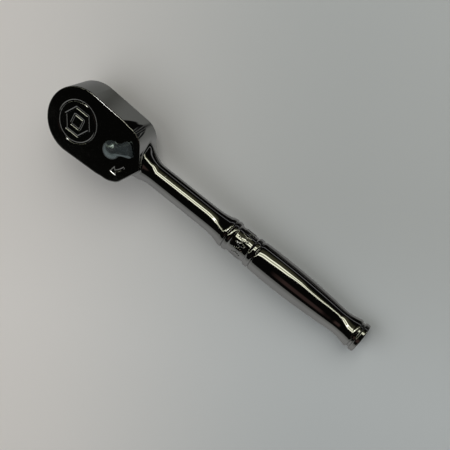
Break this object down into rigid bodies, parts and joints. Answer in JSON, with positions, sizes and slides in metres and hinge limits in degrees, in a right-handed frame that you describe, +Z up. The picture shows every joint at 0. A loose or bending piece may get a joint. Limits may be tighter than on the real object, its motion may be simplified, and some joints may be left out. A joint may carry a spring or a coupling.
{
  "type": "ratchet wrench",
  "caption": "Pear-head ratchet wrench with a square drive, a reversing lever on the head, and a turned steel handle with ringed collars and a flared end.",
  "frame": {"origin": "centre of the drive square's end face", "axes": "+Z up the drive axis towards the reversing lever, +X along the handle from the head to its end"},
  "size_m": [0.1665, 0.031, 0.0297],
  "materials": {
    "dark_chrome": "mirror-polished dark chrome plate",
    "bright_steel": "satin to polished bright steel",
    "gear_steel": "machined and hardened steel",
    "spring_steel": "drawn spring steel",
    "seal_rubber": "matt black rubber"
  },
  "bodies": {
    "body": {"ratchet_body": "dark_chrome", "cover_plate": "gear_steel", "cover_retaining_ring": "spring_steel", "thrust_washer": "bright_steel", "left_pawl_pin": "bright_steel", "right_pawl_pin": "bright_steel", "left_pawl_spring": "spring_steel", "right_pawl_spring": "spring_steel", "lever_detent_spring": "spring_steel"},
    "drive": {"drive_gear": "gear_steel", "journal_seal": "seal_rubber", "anvil_detent_spring": "spring_steel"},
    "anvil_ball": {"anvil_detent_ball": "bright_steel"},
    "left_pawl": {"left_pawl": "gear_steel"},
    "right_pawl": {"right_pawl": "gear_steel"},
    "lever": {"reversing_lever": "bright_steel", "reversing_cam": "gear_steel", "lever_seal": "seal_rubber", "lever_retaining_clip": "spring_steel"},
    "lever_ball": {"lever_detent_ball": "bright_steel"}
  },
  "joints": [
    {"name": "drive_spin", "type": "hinge", "parent": "body", "child": "drive", "pos_m": [0, 0, 0.0188], "axis": [0, 0, 1], "continuous": true},
    {"name": "lever_swing", "type": "hinge", "parent": "body", "child": "lever", "pos_m": [0.0196, 0, 0.0268], "axis": [0, 0, 1], "range_deg": [-76, 0]},
    {"name": "left_pawl_rock", "type": "hinge", "parent": "body", "child": "left_pawl", "pos_m": [0.0144, 0.0059, 0.0193], "axis": [0, 0, 1], "range_deg": [-4.6, 0], "deforming": ["left_pawl_spring"]},
    {"name": "right_pawl_rock", "type": "hinge", "parent": "body", "child": "right_pawl", "pos_m": [0.0144, -0.0059, 0.0193], "axis": [0, 0, 1], "range_deg": [-4.6, 0], "deforming": ["right_pawl_spring"]},
    {"name": "anvil_ball_press", "type": "slide", "parent": "drive", "child": "anvil_ball", "axis": [0, 1, 0], "range_m": [0, 0.00055], "stiffness_N_per_m": 500, "deforming": ["anvil_detent_spring"]},
    {"name": "lever_ball_press", "type": "slide", "parent": "body", "child": "lever_ball", "axis": [1, 0, 0], "range_m": [-0.0003, 0], "stiffness_N_per_m": 500, "deforming": ["lever_detent_spring"]}
  ],
  "couplings": [
    {"joint": "left_pawl_rock", "follows": "lever_swing", "ratio": 0.0605},
    {"joint": "right_pawl_rock", "follows": "lever_swing", "ratio": 0.0605}
  ]
}
